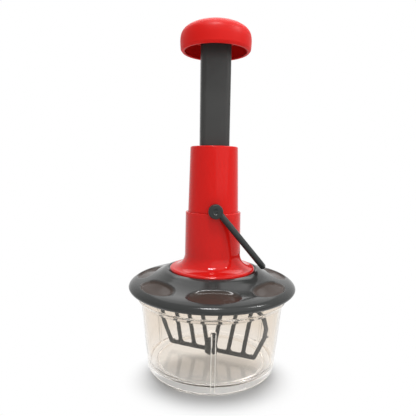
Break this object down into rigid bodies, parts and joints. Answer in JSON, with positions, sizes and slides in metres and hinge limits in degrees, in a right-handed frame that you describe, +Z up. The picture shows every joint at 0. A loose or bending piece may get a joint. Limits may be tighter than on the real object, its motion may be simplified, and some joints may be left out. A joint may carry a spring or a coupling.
{
  "type": "plunger food chopper",
  "caption": "Push-down food chopper: a clear tapered bowl under a domed lid, a column with a knobbed plunger that spins a whisk paddle, and a swinging bail.",
  "frame": {"origin": "centre of the bowl's foot on the surface it stands on", "axes": "+Z up along the column, -Y towards the pictured front, +X towards the lowered bail"},
  "size_m": [0.17, 0.17, 0.3453],
  "materials": {
    "clear_bowl": "clear moulded plastic with a faint warm tint",
    "lid_plastic": "glossy dark grey",
    "red_plastic": "glossy bright red",
    "stem_plastic": "satin dark grey",
    "bail_plastic": "satin black",
    "whisk_plastic": "satin dark grey",
    "nylon": "off-white nylon",
    "seal_rubber": "soft grey silicone",
    "steel": "bright steel"
  },
  "bodies": {
    "bowl_body": {"bowl": "clear_bowl"},
    "lid_unit": {"lid": "lid_plastic", "lid_seal": "seal_rubber", "shaft_seal": "seal_rubber", "damper_ring": "seal_rubber", "collar": "red_plastic", "column": "red_plastic", "bearing_bush": "nylon", "lid_screw_1": "steel", "lid_screw_2": "steel", "lid_screw_3": "steel", "lid_screw_4": "steel"},
    "plunger": {"stem": "stem_plastic", "stem_foot": "nylon", "drive_nut": "nylon", "stem_plug": "nylon", "knob": "red_plastic", "knob_screw": "steel", "return_spring": "steel"},
    "rotor": {"spindle": "steel", "spindle_cap": "nylon", "thrust_washer": "steel", "retaining_clip": "steel", "whisk": "whisk_plastic"},
    "bail_body": {"bail": "bail_plastic"}
  },
  "joints": [
    {"name": "lid_lift", "type": "slide", "parent": "bowl_body", "child": "lid_unit", "axis": [0, 0, 1], "range_m": [0, 0.12]},
    {"name": "plunger_slide", "type": "slide", "parent": "lid_unit", "child": "plunger", "axis": [0, 0, -1], "range_m": [0, 0.075], "stiffness_N_per_m": 80, "springref_m": -0.1, "deforming": ["return_spring"]},
    {"name": "spindle_spin", "type": "hinge", "parent": "lid_unit", "child": "rotor", "pos_m": [0, 0, 0.1], "axis": [0, 0, 1], "range_deg": [0, 540]},
    {"name": "bail_swing", "type": "hinge", "parent": "lid_unit", "child": "bail_body", "pos_m": [0, 0, 0.1636], "axis": [0, -1, 0], "range_deg": [0, 122]}
  ],
  "couplings": [
    {"joint": "spindle_spin", "follows": "plunger_slide", "rad_per_m": 125.66}
  ]
}
